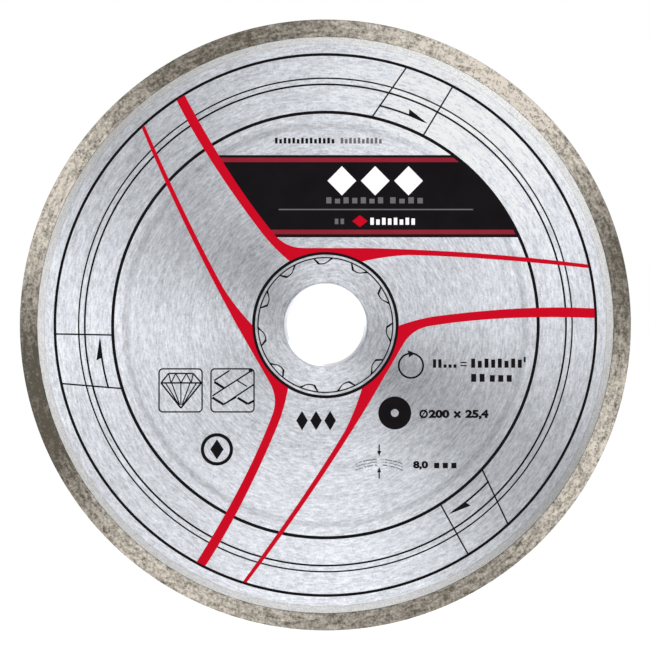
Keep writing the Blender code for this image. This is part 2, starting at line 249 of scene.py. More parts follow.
class Finish:
    def __init__(self, name):
        self.material = bpy.data.materials.new(name)
        self.material.use_nodes = True
        self.tree = self.material.node_tree
        self.shader = self.tree.nodes["Principled BSDF"]

    def add(self, kind, settings=None, sockets=None, out=0):
        node = self.tree.nodes.new("ShaderNode" + kind)
        for key, value in (settings or {}).items():
            if key == "stops":
                self.setStops(node.color_ramp, value)
            else:
                setattr(node, key, value)
        for key, value in (sockets or {}).items():
            self.plug(node.inputs[key], value)
        return Wire(self, node.outputs[out])

    def setStops(self, ramp, stops):
        while len(ramp.elements) < len(stops):
            ramp.elements.new(0.5)
        for element, (place, colour) in zip(ramp.elements, stops):
            element.position = place
            element.color = (*colour, 1) if hasattr(colour, "__len__") else (colour, colour, colour, 1)

    def plug(self, socket, value):
        if isinstance(value, Wire):
            self.tree.links.new(value.socket, socket)
        else:
            socket.default_value = value

    def give(self, **sockets):              # sets or links the shader's own sockets
        for key, value in sockets.items():
            self.plug(self.shader.inputs[key.replace("_", " ")], value)

    def mixColour(self, factor, first, second, blend="MIX"):
        return self.add("Mix", {"data_type": "RGBA", "blend_type": blend},
                        {0: factor, 6: first, 7: second}, out=2)

    def clampTo(self, value, low, high, toLow=0.0, toHigh=1.0):
        return self.add("MapRange", {"clamp": True}, {"Value": value, "From Min": low, "From Max": high,
                                                      "To Min": toLow, "To Max": toHigh})

    def shades(self, shade, colour=(1, 1, 1)):      # a number spread over the three parts of a colour
        return self.add("CombineColor", None, {i: shade * part if part != 1 else shade
                                               for i, part in enumerate(colour[:3])})

    def noise(self, vector, scale, detail=2.0, roughness=0.5):
        return self.add("TexNoise", None, {"Vector": vector, "Scale": scale, "Detail": detail,
                                           "Roughness": roughness})

    def place(self):                        # object coordinates, and the three numbers in them
        vector = self.add("TexCoord", out="Object")
        parts = [self.add("SeparateXYZ", None, {0: vector}, out=axis) for axis in "XYZ"]
        return (vector, *parts)

    def polar(self):                        # as place, with the radius and the clock angle
        vector, x, y, z = self.place()
        radius = self.add("Math", {"operation": "SQRT"}, {0: x * x + z * z})
        angle = self.add("Math", {"operation": "ARCTAN2"}, {0: x, 1: z})
        return vector, x, z, radius, angle

    def arcGrain(self, across, along, detail=2.0):          # noise drawn out into arcs round the axis
        vector, x, z, radius, angle = self.polar()
        grain = self.add("CombineXYZ", None, {0: radius * float(across), 1: x * float(along),
                                              2: z * float(along)})
        return self.noise(grain, 1.0, detail, 0.6)

    def waves(self, angle, terms):          # 1 plus a few cosines round the disc
        total = 1.0
        for count, strength, peak in terms:
            turn = (angle - math.radians(peak)) * float(count)
            total = self.add("Math", {"operation": "COSINE"}, {0: turn}) * strength + total
        return total

    def bump(self, height, strength, distance):
        return self.add("Bump", None, {"Height": height, "Strength": strength, "Distance": distance})


# steel: brushed round the axis, in three ground zones, with painted highlight fans
steel = {
    "colour": (0.690, 0.709, 0.757),
    # zone brightness by share of the radius: the bore's chamfer is painted near white as a painted highlight,
    # just outside it lies a painted shade line, and further out the brightness is partly the ground finish
    # and partly painted light
    "zones": ((0.0, 1.35), (0.1468, 1.35), (0.1486, 0.64), (0.1515, 0.70), (0.156, 0.82), (0.24, 0.82),
              (0.34, 0.815), (0.50, 0.925), (0.685, 0.975), (0.696, 0.975), (0.703, 0.80), (0.717, 0.80),
              (0.727, 1.02), (1.0, 1.02)),  # share of the radius, brightness
    "paintedHighlightFans": {                            # painted highlight fans round the disc, the lamps' reflections put into the colour: how many, how strong, where one peaks
        "hub": ((2, 0.23, 16), (3, 0.03, 48), (4, 0.045, 80)),
        "web": ((1, 0.07, 0), (2, 0.19, 35), (3, 0.07, 43), (4, 0.105, 85), (6, 0.045, 32)),
        "edge": ((1, 0.13, 5), (2, 0.20, 39), (3, 0.12, 44), (4, 0.09, 89), (6, 0.03, 35)),
    },
    "hubShare": (0.22, 0.30), "edgeShare": (0.66, 0.74),     # where one zone's fans pass into the next's
    "streak": (1450, 400), "groove": (5200, 240), "sweep": (420, 60),   # arcs per metre, across and along
    "cloud": 60, "speck": 1600,
    "strengths": {"streak": 0.95, "groove": 0.35, "sweep": 0.30, "speck": 0.55, "cloud": 0.14},
    "coarse": (0.20, 0.75, 1.20),           # the middle is ground more coarsely: from, to, how much more
    "chamfer": (0.1465, 0.1490, 0.25),      # the bore's chamfer is turned clean: from, to, how much is left
    "roughness": 0.36, "grooveRoughness": 0.16, "sweepRoughness": 0.10,
    "bump": (0.22, 0.04 * mm),
}


def paintSteelHighlightFans(finish, angle, share):     # painted highlight: the soft fans of light that lamps make on brushed steel, painted into the colour zone by zone
    hub, web, edge = (finish.waves(angle, steel["paintedHighlightFans"][zone]) for zone in ("hub", "web", "edge"))
    inMask = finish.clampTo(share, *steel["hubShare"])
    outMask = finish.clampTo(share, *steel["edgeShare"])
    inner = hub + (web - hub) * inMask
    return inner + (edge - inner) * outMask


def makeSteel(name):
    finish = Finish(name)
    vector, x, z, radius, angle = finish.polar()
    share = radius / blade["steelRadius"]
    grains = {
        "streak": finish.arcGrain(*steel["streak"]),
        "groove": finish.arcGrain(*steel["groove"], detail=1.0),
        "sweep": finish.arcGrain(*steel["sweep"]),
        "speck": finish.noise(vector, steel["speck"], 2.0, 0.6),
        "cloud": finish.noise(vector, steel["cloud"], 3.0, 0.5),
    }
    wear = sum((grains[kind] - 0.5) * strength for kind, strength in steel["strengths"].items())
    coarseFrom, coarseTo, coarse = steel["coarse"]
    cleanTo, cleanFrom, clean = steel["chamfer"]
    boost = (finish.clampTo(share, coarseFrom, coarseTo, coarse, 1.0)
             * finish.clampTo(share, cleanTo, cleanFrom, clean, 1.0))
    ramp = finish.add("ValToRGB", {"stops": steel["zones"]}, {0: share})
    zone = finish.add("SeparateColor", None, {0: ramp})
    # painted light: the painted highlight fans and the zone brightness multiply the brushed grain here
    shade = (1.0 + wear * boost) * paintSteelHighlightFans(finish, angle, share) * zone
    rough = (steel["roughness"] + (grains["groove"] - 0.5) * steel["grooveRoughness"]
             + (grains["sweep"] - 0.5) * steel["sweepRoughness"])
    relief = finish.bump(grains["groove"] + grains["streak"] * 0.6, *steel["bump"])
    finish.give(Base_Color=finish.shades(shade, steel["colour"]), Metallic=1.0, Roughness=rough,
                Normal=relief)
    return finish.material


# rim base: sintered metal without diamond
rimBase = {
    "colours": ((0.545, 0.55, 0.55, 1), (0.645, 0.645, 0.64, 1)),
    "arcs": (2200, 420), "speck": 2200, "grain": 0.5,
    "roughness": 0.45, "metal": 0.9, "bump": (0.3, 0.04 * mm),
}


def makeRimBond():
    finish = Finish("rimBond")
    vector, x, z, radius, angle = finish.polar()
    fine = finish.arcGrain(*rimBase["arcs"])
    speck = finish.noise(vector, rimBase["speck"], 3.0, 0.65)
    grain = (fine - 0.5) * rimBase["grain"] + (speck - 0.5) * rimBase["grain"]
    # painted highlight: the steel's edge fans are painted into the rim base's colour as well
    shade = (1.0 + grain) * finish.waves(angle, steel["paintedHighlightFans"]["edge"])
    tint = finish.mixColour(finish.clampTo(speck, 0.35, 0.65), *rimBase["colours"])
    tint = finish.mixColour(1.0, tint, finish.shades(shade), "MULTIPLY")
    finish.give(Base_Color=tint, Metallic=rimBase["metal"],
                Roughness=rimBase["roughness"] + (speck - 0.5) * 0.2,
                Normal=finish.bump(speck + fine, *rimBase["bump"]))
    return finish.material


# diamond layer: warm sintered bond with grit in it, its colour swung round the rim by painted highlight fans
rim = {
    # light and dark: the bond's colour where the painted highlight fans are bright and where they are dark
    "light": (0.66, 0.60, 0.52, 1), "dark": (0.072, 0.060, 0.042, 1),
    "pit": (0.13, 0.115, 0.09, 1), "outerEdgeTone": (0.14, 0.12, 0.095, 1),
    # painted highlight fans round the rim: how many, how strong, where one peaks
    "paintedHighlightFans": ((1, 0.166, 71), (2, 0.112, 20), (3, 0.15, 47), (4, 0.60, 30), (6, 0.147, 48)),
    "sectorGain": 0.55, "sectorBase": -0.12,
    "mottle": (760, 270), "speck": 1300, "grain": 1.7,
    "grainOnLight": 1.1, "grainOnDark": 0.38,
    "pits": 850, "pitPatches": 260, "pitDepth": 0.8, "pitShade": 0.75,
    "outerEdgeBand": (0.7 * mm, 0.1 * mm), "outerEdgeDarkening": 0.12,
    "roughness": 0.62, "metal": 0.25, "bump": (0.5, 0.08 * mm),
    "steps": 1440,                          # faces round the rim
    "bands": 10,                            # cuts across it
    "corner": 0.30 * mm, "shortestSide": 1.2 * mm,
    "innerGap": 0.05 * mm, "weld": 0.01 * mm,
    "displace": 0.05 * mm, "displaceScale": 0.9 * mm,
}


def makeDiamondBond():
    finish = Finish("diamondBond")
    vector, x, z, radius, angle = finish.polar()
    mottle = finish.arcGrain(*rim["mottle"], detail=3.0)
    speck = finish.noise(vector, rim["speck"], 2.0, 0.6)
    grain = (mottle - 0.5) * rim["grain"] + (speck - 0.5) * rim["grain"]
    # painted light: the bond passes from its dark colour to its light one in the painted highlight fans, with
    # the grain on top
    highlightFans = finish.waves(angle, rim["paintedHighlightFans"])
    base = finish.clampTo(highlightFans * rim["sectorGain"] + rim["sectorBase"], 0.0, 1.0)
    light = finish.clampTo(base * (1.0 + grain * rim["grainOnLight"]) + grain * rim["grainOnDark"], 0.0, 1.0)
    tint = finish.mixColour(light, rim["dark"], rim["light"])
    cells = finish.add("TexVoronoi", {"feature": "F1"}, {"Vector": vector, "Scale": rim["pits"]})
    patches = finish.clampTo(finish.noise(vector, rim["pitPatches"]), 0.42, 0.58)
    pits = finish.clampTo(cells, 0.18, 0.32, 1.0, 0.0) * patches
    tint = finish.mixColour(pits * rim["pitShade"], tint, rim["pit"])
    # darker in a thin band at the outer edge of the rim
    outerEdgeTone = finish.clampTo(radius, *(blade["rimRadius"] - depth for depth in rim["outerEdgeBand"]))
    tint = finish.mixColour(outerEdgeTone * rim["outerEdgeDarkening"], tint, rim["outerEdgeTone"])
    finish.give(Base_Color=tint, Metallic=rim["metal"], Roughness=rim["roughness"] + (speck - 0.5) * 0.3,
                Normal=finish.bump(speck - pits * rim["pitDepth"], *rim["bump"]))
    return finish.material


# grit: small cut crystals set in the bond
grit = {
    "count": 1500, "size": (0.14 * mm, 0.26 * mm), "sunk": 0.72,     # sunk: share of its size below the face
    "onFaces": 0.78,                        # the others are on the cutting edge
    "margin": (0.35 * mm, 0.3 * mm), "edgeReach": 0.75,
    "stops": ((0.0, (0.07, 0.065, 0.055)), (0.45, (0.20, 0.18, 0.14)), (0.7, (0.50, 0.46, 0.37)),
              (1.0, (0.80, 0.76, 0.66))),
    "cells": 700, "roughness": 0.3, "coat": 0.4,
}


def makeGritCrystal():
    finish = Finish("gritCrystal")
    vector, x, z, radius, angle = finish.polar()
    cells = finish.add("TexVoronoi", {"feature": "F1"}, {"Vector": vector, "Scale": grit["cells"]},
                       out="Color")
    share = finish.add("SeparateColor", None, {0: cells})
    tint = finish.add("ValToRGB", {"stops": grit["stops"]}, {0: share})
    # painted highlight: the rim's four-lobed fans are painted on the crystals too
    light = finish.waves(angle, rim["paintedHighlightFans"][3:4])
    tint = finish.mixColour(1.0, tint, finish.shades(light), "MULTIPLY")
    finish.give(Base_Color=tint, Metallic=0.0, Roughness=grit["roughness"] + share * 0.2,
                Coat_Weight=grit["coat"])
    return finish.material


# inks: satin films with a faint screen texture; lift is how much paler a thin patch is
inks = {
    "blackInk": {"colour": (0.0048, 0.0034, 0.0046), "lift": 0.003, "roughness": 0.45},
    "greyInk": {"colour": (0.12, 0.115, 0.12), "lift": 0.03, "roughness": 0.45},
    "redInk": {"colour": (0.52, 0.0002, 0.013), "lift": 0.002, "roughness": 0.42},
    "darkRedInk": {"colour": (0.235, 0.010, 0.024), "lift": 0.010, "roughness": 0.42},
    "whiteInk": {"colour": (0.90, 0.90, 0.90), "lift": -0.05, "roughness": 0.45},
}
screen = {"cloud": 90, "grain": 3500, "bump": (0.15, 0.02 * mm), "specular": 0.04}


def makeInk(name):
    look = inks[name]
    finish = Finish(name)
    vector, x, y, z = finish.place()
    cloud = finish.noise(vector, screen["cloud"], 3.0, 0.6)
    grain = finish.noise(vector, screen["grain"], 2.0, 0.6)
    thin = tuple(value + look["lift"] * (1 - value) for value in look["colour"])
    share = finish.clampTo(cloud * 0.6 + grain * 0.4, 0.35, 0.65)
    tint = finish.mixColour(share, (*look["colour"], 1), (*thin, 1))
    finish.give(Base_Color=tint, Metallic=0.0, Roughness=look["roughness"] + (grain - 0.5) * 0.2,
                Normal=finish.bump(grain, *screen["bump"]), Specular_IOR_Level=screen["specular"])
    return finish.material


materials = {name: makeInk(name) for name in inks}
materials["steel"] = makeSteel("brushedSteel")
materials["rimBond"] = makeRimBond()
materials["diamondBond"] = makeDiamondBond()
materials["gritCrystal"] = makeGritCrystal()
print("materials made")


# the steel and the rim base keep their CAD shapes
for nodeName, materialName in (("steel_core", "steel"), ("rim_base", "rimBond")):
    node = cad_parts[nodeName]
    node.data.materials.clear()
    node.data.materials.append(materials[materialName])


def makeDiamondRim():
    inner, outer = blade["baseRadius"] + rim["innerGap"], blade["rimRadius"]
    height, depth = outer - inner, blade["rimFace"] * 2
    deselectAll()
    # a section of the rim, on edge at the top of the blade, then spun round the axis
    bpy.ops.mesh.primitive_plane_add(size=1, location=(0, 0, (inner + outer) / 2),
                                     rotation=(0, math.pi / 2, 0))
    obj = bpy.context.object
    obj.name = obj.data.name = "diamondRim"
    obj.scale = (height, depth, 1)
    applyPlace(obj)
    bpy.ops.object.mode_set(mode="EDIT")
    bpy.ops.mesh.select_all(action="SELECT")
    bpy.ops.mesh.delete(type="ONLY_FACE")
    bpy.ops.mesh.select_all(action="SELECT")
    bpy.ops.mesh.bevel(offset=rim["corner"], segments=3, affect="VERTICES")
    bpy.ops.mesh.select_all(action="DESELECT")
    bpy.ops.object.mode_set(mode="OBJECT")
    for edge in obj.data.edges:             # the four sides, and not the rounded corners
        ends = [obj.data.vertices[i].co for i in edge.vertices]
        edge.select = (ends[0] - ends[1]).length > rim["shortestSide"]
    bpy.ops.object.mode_set(mode="EDIT")
    bpy.ops.mesh.select_mode(type="EDGE")
    bpy.ops.mesh.subdivide(number_cuts=rim["bands"])
    bpy.ops.mesh.select_all(action="SELECT")
    bpy.ops.mesh.spin(steps=rim["steps"], angle=2 * math.pi, center=(0, 0, 0), axis=(0, 1, 0))
    bpy.ops.mesh.select_all(action="SELECT")
    bpy.ops.mesh.remove_doubles(threshold=rim["weld"])
    bpy.ops.mesh.normals_make_consistent(inside=False)
    bpy.ops.object.mode_set(mode="OBJECT")
    grain = bpy.data.textures.new("rimGrain", "CLOUDS")
    grain.noise_scale = rim["displaceScale"]
    grain.noise_depth = 2
    applyModifier(obj, "DISPLACE", texture=grain, texture_coords="LOCAL", strength=rim["displace"],
                  mid_level=0.55)
    onlySelect(obj)
    bpy.ops.object.shade_smooth_by_angle(angle=math.radians(40))
    print("diamond rim:", len(obj.data.polygons), "faces")
    return obj


finishPiece(makeDiamondRim(), materials["diamondBond"], ["diamond_rim"])


def makeGrit():
    random.seed(7)
    deselectAll()
    bpy.ops.mesh.primitive_ico_sphere_add(subdivisions=1, radius=1.0)
    seed = bpy.context.object
    seed.name = "gritGrain0"
    bpy.ops.object.mode_set(mode="EDIT")
    bpy.ops.mesh.select_all(action="SELECT")
    bpy.ops.transform.resize(value=(1.0, 0.8, 1.15))
    bpy.ops.mesh.bisect(plane_co=(0, 0, 0.7), plane_no=(0.2, 0.1, 1), use_fill=True, clear_outer=True)
    bpy.ops.object.mode_set(mode="OBJECT")
    grains = []
    inner, outer = blade["baseRadius"] + grit["margin"][0], blade["rimRadius"]
    for count in range(grit["count"]):
        grain = bpy.data.objects.new(f"gritGrain{count + 1}", seed.data.copy())
        size = random.uniform(*grit["size"])
        angle = random.uniform(0, 2 * math.pi)
        if random.random() < grit["onFaces"]:
            radius = math.sqrt(random.uniform(inner ** 2, (outer - grit["margin"][1]) ** 2))
            side = -1 if random.random() < 0.5 else 1
            across = side * (blade["rimFace"] - size * grit["sunk"])
        else:
            radius = outer - size * grit["sunk"]
            across = random.uniform(-grit["edgeReach"], grit["edgeReach"]) * blade["rimFace"]
        place = Vector((radius * math.sin(angle), across, radius * math.cos(angle)))
        turn = random.uniform(0, 6.28)
        pivot = Vector((random.random(), random.random(), 0.3)).normalized()
        grain.data.transform(Matrix.Translation(place) @ Matrix.Rotation(turn, 4, pivot)
                             @ Matrix.Scale(size, 4))
        bpy.context.scene.collection.objects.link(grain)
        grains.append(grain)
    bpy.data.objects.remove(seed)
    obj = joinAll("rimGrit", grains)
    print("grit:", len(obj.data.polygons), "faces")
    return obj


finishPiece(makeGrit(), materials["gritCrystal"])


# black rings and direction marks
rings = {
    "big": ((88.53, 0.90), (80.76, 0.48), (78.75, 0.60), (69.64, 1.02)),     # radius, line width
    "hub": (23.5, 1.0),
    "lines": (((69.6, 12.6), (88.5, 17.5)), ((69.6, 27.3), (88.5, 28.1))),   # radius and clock angle of ends
    "lineWidth": 0.50, "marks": 3,
    "arrowRadius": 73.95, "arrowWidth": 0.60, "arrowBarb": 1.9,
    "arrowAngles": (13.7, 21.2, 26.9),      # start, barb, tip
    "notchRing": (22.05, 0.42), "notchCount": 11, "notchTurn": -1.5,
    "notchLine": 0.40, "notchEnds": (-3.35, 3.1), "notchDepth": 2.0,
}


def arrowOutline():
    start, barb, tip = rings["arrowAngles"]
    radius, half = rings["arrowRadius"], rings["arrowWidth"] / 2
    return joinedRuns(arc(radius + half, start, barb + 0.4),
                      [clock(radius + rings["arrowBarb"], barb), clock(radius, tip)],
                      arc(radius - half, tip - 1.5, start))


def makeDirectionMark(number):
    turn = number * 360 / rings["marks"]
    parts = []
    for i, (start, end) in enumerate(rings["lines"]):
        line = turned(strip(clock(*start), clock(*end), rings["lineWidth"]), turn)
        parts.append(flatPrint(f"line{number}{i}", [line], sink=ink["overlap"]))
    parts.append(flatPrint(f"arrow{number}", [turned(arrowOutline(), turn)], sink=2 * ink["overlap"]))
    return joinAll(f"directionMark{number + 1}", parts)


def notchOutline(inset):                    # offsets along the ring and depths inside it
    left, right = rings["notchEnds"][0] + inset * 1.5, rings["notchEnds"][1] - inset * 2.4
    depth = rings["notchDepth"] - inset
    chord = [(right + (left - right) * i / 6, 0.0) for i in range(1, 6)] if inset else []
    return joinedRuns([(left, 0.0)],
                      bend((left + 1.0, depth - 0.45), (left + 1.2, depth), (left + 1.75, depth), 4),
                      bend((-0.4, depth), (0.9, depth - 0.1), (1.9 - inset, depth * 0.45), 8),
                      [(right, 0.0)], chord)


def onNotchRing(offsets, turn):
    radius = rings["notchRing"][0] - rings["notchRing"][1] / 2
    return [clock(radius - depth, turn + math.degrees(along / radius)) for along, depth in offsets]


def notchRingOutlines():
    radius = rings["notchRing"][0] - rings["notchRing"][1] / 2
    pitch = 360 / rings["notchCount"]
    outer, inner, holes = notchOutline(0.0), [], []
    ends = [math.degrees(along / radius) for along, depth in (outer[-1], outer[0])]
    for count in range(rings["notchCount"]):
        turn = rings["notchTurn"] + count * pitch
        inner += onNotchRing(outer, turn) + arc(radius, turn + ends[0], turn + pitch + ends[1])[1:-1]
        holes.append(onNotchRing(notchOutline(rings["notchLine"]), turn))
    return [circle(rings["notchRing"][0] + rings["notchRing"][1] / 2, 240), inner] + holes


for index, (radius, width) in enumerate(rings["big"]):
    ring = printRing(f"bigRing{index + 1}", radius, width)
    finishPiece(ring, materials["blackInk"], ["black_rings"])
for number in range(rings["marks"]):
    finishPiece(makeDirectionMark(number), materials["blackInk"])
finishPiece(printRing("hubRing", *rings["hub"]), materials["blackInk"], ["hub_ring"])
finishPiece(flatPrint("notchRing", notchRingOutlines()), materials["blackInk"],
            ["hub_notch_ring"])
print("rings printed")


# red stripes: three alike, a third of a turn apart, each with a thick arm and a thin one
stripes = {
    "count": 3, "hub": 23.9, "onHub": (-29.3, 29.8),         # the arc that lies on the hub ring
    "end": 88.2, "thick": (-33.51, -31.49), "thin": (77.04, 77.81),   # radius and angles of the arms' ends
    "thickTop": ((-31.57, 47.77), (-16.74, 29.7)),           # bends: the point each heads for, and its end
    "shoulder": ((-13.05, 25.2), (-7.0, 25.2)),
    "thinTop": ((14.0, 25.15), (52.07, 24.24)),              # this one: its start, and what it heads for
    "thinBottom": ((50.26, 22.49), (27.0, 22.88)),
    "thinRoot": ((20.0, 22.6), (11.9, 20.74)),
    "thickRoot": ((-17.4, 25.6), (-21.43, 31.02)),
    "thickBottomHeads": (-38.99, 54.2),
}


def stripeOutline():
    thickInner, thickOuter = (clock(stripes["end"], angle) for angle in stripes["thick"])
    thinTop, thinBottom = (clock(stripes["end"], angle) for angle in stripes["thin"])
    onHub = arc(stripes["hub"], stripes["onHub"][1], stripes["onHub"][0])
    return joinedRuns(bend(thickOuter, *stripes["thickTop"]),
                      bend(stripes["thickTop"][1], *stripes["shoulder"]),
                      bend(*stripes["thinTop"], thinTop),
                      bend(thinBottom, *stripes["thinBottom"]),
                      bend(stripes["thinBottom"][1], *stripes["thinRoot"]),
                      onHub,
                      bend(onHub[-1], *stripes["thickRoot"]),
                      bend(stripes["thickRoot"][1], stripes["thickBottomHeads"], thickInner))


for number in range(stripes["count"]):
    outline = turned(stripeOutline(), number * 360 / stripes["count"])
    stripe = flatPrint(f"redStripe{number + 1}", [outline], level=2)
    finishPiece(stripe, materials["redInk"], [f"red_stripe_{number + 1}"])
print("stripes printed")


# label panel
panel = {
    "top": 55.6, "bottom": 28.7, "left": (-35.6, -17.2),     # left edge at the top and at the bottom
    "underRing": 0.2, "lineEnd": 0.5,       # the panel runs in under the inner big ring, its lines stop short
    "lines": {"panelLineTop": ("panel_line_top", 54.8, 53.3),
              "panelLineBottom": ("panel_line_bottom", 31.2, 29.7)},
    "rule": ((-15.3, 37.8), (48.3, 37.8)), "ruleWidth": 0.4,
    "gemSize": (9.4, 9.6), "gemPitch": 10.9, "gemMiddle": (16.3, 47.2), "gemCount": 3,
}


def panelBand(top, bottom, reach):          # a level band from the panel's slanting edge to an arc
    lean = (panel["left"][1] - panel["left"][0]) / (panel["top"] - panel["bottom"])
    left = [(panel["left"][0] + lean * (panel["top"] - height), height) for height in (bottom, top)]
    return left + arc(reach, *(math.degrees(math.acos(height / reach)) for height in (top, bottom)))


def rhombus(place, size):
    wide, high = size[0] / 2, size[1] / 2
    return moved([(wide, 0), (0, high), (-wide, 0), (0, -high)], place)


reach = rings["big"][-1][0] - panel["underRing"]
backing = flatPrint("labelPanel", [panelBand(panel["top"], panel["bottom"], reach)], sink=ink["overlap"])
finishPiece(backing, materials["blackInk"], ["label_panel"])
for name, (nodeName, top, bottom) in panel["lines"].items():
    line = flatPrint(name, [panelBand(top, bottom, reach - panel["lineEnd"])], level=1)
    finishPiece(line, materials["darkRedInk"], [nodeName])
rule = flatPrint("panelRule", [strip(*panel["rule"], panel["ruleWidth"])], level=1)
finishPiece(rule, materials["greyInk"], ["panel_rule"])
for count in range(panel["gemCount"]):
    shift = (count - (panel["gemCount"] - 1) / 2) * panel["gemPitch"]
    place = (panel["gemMiddle"][0] + shift, panel["gemMiddle"][1])
    gem = flatPrint(f"panelGem{count + 1}", [rhombus(place, panel["gemSize"])], level=1)
    finishPiece(gem, materials["whiteInk"], [f"panel_gem_{count + 1}"])
print("panel printed")


# small print: rows of plain blocks in place of words, and figures for the size
marks = {
    "panelRows": [                          # piece, material, slot, left, right, bottom, top, blocks
        ("panelSubRowLeft", "greyInk", "grey_ink", 0.3, 18.9, 39.8, 41.8, 7),
        ("panelSubRowRight", "greyInk", "grey_ink", 21.2, 31.9, 39.8, 41.8, 4),
        ("panelFootRowLeft", "greyInk", "grey_ink", 3.1, 6.1, 33.0, 34.8, 2),
        ("panelFootRowRight", "whiteInk", "white_ink", 14.7, 29.3, 32.8, 35.1, 8),
    ],
    "faceRows": [
        ("articleRowLeft", "blackInk", "black_ink", -16.5, 2.9, 59.4, 61.3, 14),
        ("articleRowRight", "greyInk", "grey_ink", 5.0, 18.4, 59.4, 61.3, 10),
        ("speedRowSign", "blackInk", "black_ink", 35.2, 38.0, -14.0, -11.2, 2),
        ("speedRowSmall", "blackInk", "black_ink", 38.7, 42.9, -14.0, -12.9, 3),
        ("speedRowLong", "blackInk", "black_ink", 47.7, 64.3, -14.0, -11.0, 8),
        ("speedRowTop", "blackInk", "black_ink", 64.9, 66.0, -12.2, -10.4, 1),
        ("speedRowShort", "blackInk", "black_ink", 47.7, 52.1, -18.6, -16.0, 2),
        ("speedRowUnit", "blackInk", "black_ink", 53.8, 61.0, -18.6, -16.4, 3),
        ("rimSizeUnit", "blackInk", "black_ink", 35.6, 42.9, -46.9, -45.1, 3),
    ],
    "blockShare": 0.60,                     # how much of its place a block fills
    "blockRise": (0.0, 0.24, 0.0, 0.1),     # how much lower the blocks of a long row are, in turn
    "panelFootGem": ((11.3, 34.0), (5.0, 3.9)),
    "nameGems": ((-3.05, -31.3), (3.8, 6.4), 4.6),           # middle, size, pitch
    "figures": {                            # text, left, right, bottom, top
        "acrossFigure": ("200", 33.8, 40.6, -30.45, -27.75),
        "boreFigure": ("25,4", 45.8, 53.4, -30.92, -27.75),
        "rimFigure": ("8,0", 28.7, 33.6, -47.38, -44.5),
    },
    "bolder": 0.055,
    "acrossSign": (32.15, -29.1), "acrossRadii": (1.42, 0.80), "acrossSlash": (0.95, 1.55, 0.36),
    "times": [((42.2, -30.3), (44.1, -28.3), 0.78), ((42.2, -28.3), (44.1, -30.3), 0.78)],
    "equal": [((44.2, -12.3), (46.2, -12.3), 0.42), ((44.2, -13.3), (46.2, -13.3), 0.42)],
}


def blockRow(left, right, bottom, top, count):
    pitch = (right - left) / (count - 1 + marks["blockShare"]) if count > 1 else right - left
    width = pitch * marks["blockShare"]
    rises = marks["blockRise"] if count > 3 else (0.0,)
    row = []
    for index in range(count):
        start, end = left + index * pitch, left + index * pitch + width
        height = top - (top - bottom) * rises[index % len(rises)]
        row.append([(start, bottom), (start, height), (end, height), (end, bottom)])
    return row


def figures(name, text, left, right, bottom, top):
    deselectAll()
    bpy.ops.object.text_add()
    obj = bpy.context.object
    obj.name = name
    obj.data.body = text
    obj.data.fill_mode = "BOTH"
    obj.data.offset = marks["bolder"]
    obj.data.resolution_u = 4
    bpy.ops.object.convert(target="MESH")
    obj = bpy.context.object
    obj.name = obj.data.name = name
    xs, ys = ([vertex.co[axis] for vertex in obj.data.vertices] for axis in (0, 1))
    wide, high = max(xs) - min(xs), max(ys) - min(ys)
    obj.scale = ((right - left) * art / wide, (top - bottom) * art / high, 1)
    applyPlace(obj)
    obj.location = (left * art - min(vertex.co.x for vertex in obj.data.vertices),
                    bottom * art - min(vertex.co.y for vertex in obj.data.vertices), 0)
    applyPlace(obj)
    applyModifier(obj, "SOLIDIFY", thickness=ink["thickness"], offset=0)
    obj.location = (0, -inkHeight(0), 0)
    obj.rotation_euler = upright
    applyPlace(obj)
    return obj


def printBlack(name, outlines, standsFor=()):
    return finishPiece(flatPrint(name, outlines), materials["blackInk"], standsFor)


def signPrint(name, strokes):               # strokes that may cross, each a little lower than the last
    parts = [flatPrint(f"{name}Part{i}", [strip(*stroke)], sink=(i % 4) * ink["overlap"])
             for i, stroke in enumerate(strokes)]
    return finishPiece(joinAll(name, parts), materials["blackInk"])


def ringOutlines(place, outer, inner, steps=96):
    return [moved(circle(radius, steps), place) for radius in (outer, inner)]


for key, level in (("panelRows", 1), ("faceRows", 0)):
    for name, materialName, slotName, *row in marks[key]:
        finishPiece(flatPrint(name, blockRow(*row), level=level), materials[materialName])
footGem = flatPrint("panelFootGem", [rhombus(*marks["panelFootGem"])], level=1)
finishPiece(footGem, materials["redInk"])
middle, size, pitch = marks["nameGems"]
printBlack("nameGems", [rhombus((middle[0] + side * pitch, middle[1]), size) for side in (-1, 0, 1)])
for name, (text, *place) in marks["figures"].items():
    finishPiece(figures(name, text, *place), materials["blackInk"])
printBlack("acrossRing", ringOutlines(marks["acrossSign"], *marks["acrossRadii"], 48))
wide, high, width = marks["acrossSlash"]
ends = moved([(-wide, -high), (wide, high)], marks["acrossSign"])
signPrint("acrossSlash", [(*ends, width)])
signPrint("timesSign", marks["times"])
signPrint("equalSign", marks["equal"])
print("small print done")


# pictograms
icons = {
    "frames": {"gemFrame": ("gem_frame", (-47.4, -21.4)), "tileFrame": ("tile_frame", (-30.4, -21.4))},
    "frameSide": 14.55, "frameCorner": 1.5, "frameLine": 0.46,
    "boreMark": (22.7, -28.8), "boreRadii": (5.40, 1.28),
    "plainMark": (-35.5, -40.7), "plainRadii": (5.3, 4.2), "plainGem": (4.4, 6.6),
    "turnMark": (28.0, -13.3), "turnRadius": 4.0, "turnLine": 0.6, "turnHead": (-12, 12), "turnBarb": 1.2,
}


def roundedSquare(side, corner):
    inset = side / 2 - corner
    points = []
    for quarter, centre in enumerate(((inset, inset), (inset, -inset), (-inset, -inset), (-inset, inset))):
        points += moved(arc(corner, 90 * quarter, 90 * quarter + 90, 10), centre)
    return points


